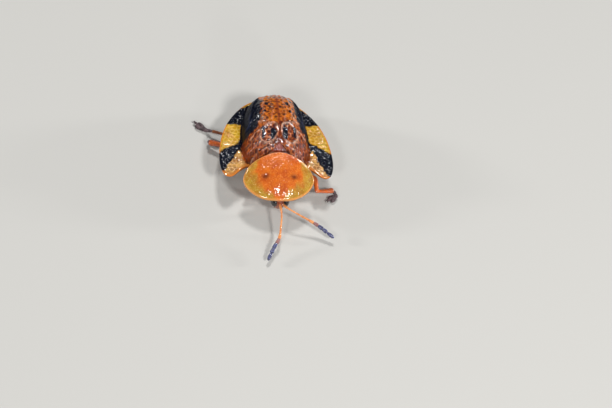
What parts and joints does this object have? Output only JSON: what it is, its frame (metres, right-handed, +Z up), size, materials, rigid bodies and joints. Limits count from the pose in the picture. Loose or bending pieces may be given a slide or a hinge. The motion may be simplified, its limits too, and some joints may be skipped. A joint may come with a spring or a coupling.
{
  "type": "tortoise beetle model",
  "caption": "Life-size tortoise beetle standing on its feet, with domed wing covers on wide flat rims and feelers held forward.",
  "frame": {"origin": "centre of the whole beetle's box at floor level", "axes": "+Z up, -Y the way the beetle faces, +X its left side"},
  "size_m": [0.0098, 0.0134, 0.0045],
  "materials": {
    "wing_cover": "pitted amber and black horn, wet gloss",
    "shield": "orange horn with clear amber rim, glossy",
    "underside": "brown horn, satin",
    "eye": "black, fine facets, glossy",
    "feeler": "orange with dark downy tips",
    "limb": "orange-brown horn, glossy",
    "foot": "dark brown, downy"
  },
  "bodies": {
    "root": {"elytron_left": "wing_cover", "elytron_right": "wing_cover", "scutellum": "wing_cover", "pronotum": "shield", "prothorax": "underside", "thorax": "underside", "abdomen": "underside", "head": "limb", "eye_left": "eye", "eye_right": "eye", "antenna_left": "feeler", "antenna_right": "feeler", "femur_front_left": "limb", "femur_front_right": "limb", "femur_middle_left": "limb", "femur_middle_right": "limb", "femur_hind_left": "limb", "femur_hind_right": "limb", "tibia_front_left": "limb", "tibia_front_right": "limb", "tibia_middle_left": "limb", "tibia_middle_right": "limb", "tibia_hind_left": "limb", "tibia_hind_right": "limb", "tarsus_front_left": "foot", "tarsus_front_right": "foot", "tarsus_middle_left": "foot", "tarsus_middle_right": "foot", "tarsus_hind_left": "foot", "tarsus_hind_right": "foot"}
  },
  "joints": []
}
